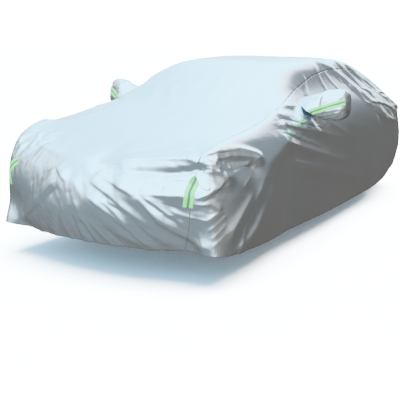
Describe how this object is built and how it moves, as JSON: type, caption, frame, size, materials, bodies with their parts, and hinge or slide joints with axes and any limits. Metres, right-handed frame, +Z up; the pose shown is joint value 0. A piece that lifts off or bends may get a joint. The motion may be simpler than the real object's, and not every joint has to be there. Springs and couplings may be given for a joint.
{
  "type": "fitted car cover",
  "caption": "Fitted car cover in silver coated cloth, sewn from long shaped panels, with hollow mirror pockets and green reflective strips.",
  "frame": {"origin": "middle of the roof, on the underside of the cloth, where what the cover fits over holds it up", "axes": "+X forward to the nose, +Y to the cover's left, +Z up"},
  "size_m": [4.9453, 2.1929, 1.2528],
  "materials": {
    "silver_cloth": "silver coating, satin",
    "green_tape": "fluorescent, satin",
    "dark_tape": "reflective grey, satin"
  },
  "bodies": {
    "root": {"centre_panel": "silver_cloth", "side_panel_left": "silver_cloth", "side_panel_right": "silver_cloth", "mirror_pocket_left": "silver_cloth", "mirror_pocket_right": "silver_cloth", "strip_front_left": "green_tape", "strip_front_right": "green_tape", "strip_mirror_left": "green_tape", "strip_mirror_right": "green_tape", "stripe_front_left": "dark_tape", "stripe_front_right": "dark_tape", "stripe_mirror_left": "dark_tape", "stripe_mirror_right": "dark_tape"}
  },
  "joints": []
}
